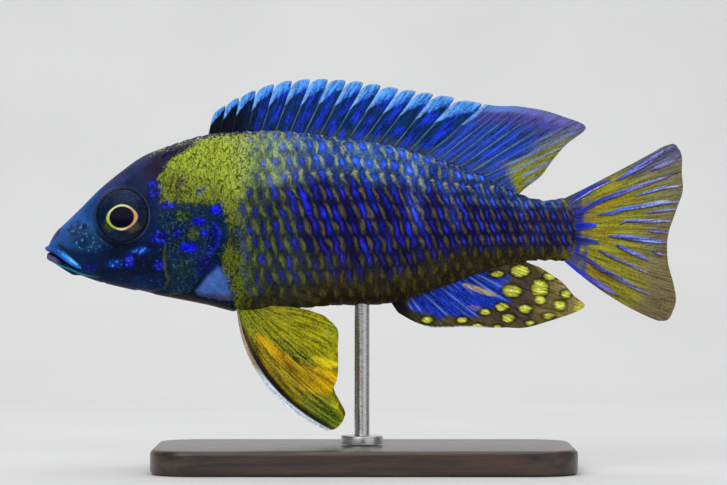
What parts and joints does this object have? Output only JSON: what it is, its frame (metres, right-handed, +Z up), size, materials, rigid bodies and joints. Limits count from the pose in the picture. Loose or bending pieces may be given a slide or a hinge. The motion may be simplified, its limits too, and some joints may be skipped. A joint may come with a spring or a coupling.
{
  "type": "peacock cichlid",
  "caption": "Life-size still model of a male peacock cichlid swimming with spread fins, held by a steel rod on a flat board.",
  "frame": {"origin": "middle of the underside of the stand's board, on the fish's mid-plane", "axes": "+Z up, -X towards the snout, +X towards the tail, -Y out of the fish's left side, which the picture shows"},
  "size_m": [0.1279, 0.044, 0.0782],
  "materials": {
    "skin": "wet scaled skin, blue over olive",
    "eye": "polished",
    "blue_fin": "satin membrane",
    "olive_fin": "satin membrane",
    "clear_fin": "clear membrane",
    "stand_wood": "dark satin lacquer",
    "stand_steel": "brushed"
  },
  "bodies": {
    "root": {"head": "skin", "lower_jaw": "skin", "gill_cover_left": "skin", "gill_cover_right": "skin", "torso": "skin", "tail_stalk": "skin", "eye_left": "eye", "eye_right": "eye", "dorsal_fin": "blue_fin", "anal_fin": "blue_fin", "caudal_fin": "olive_fin", "pelvic_fin_left": "olive_fin", "pelvic_fin_right": "olive_fin", "pectoral_fin_left": "clear_fin", "pectoral_fin_right": "clear_fin", "stand_base": "stand_wood", "stand_rod": "stand_steel"}
  },
  "joints": []
}
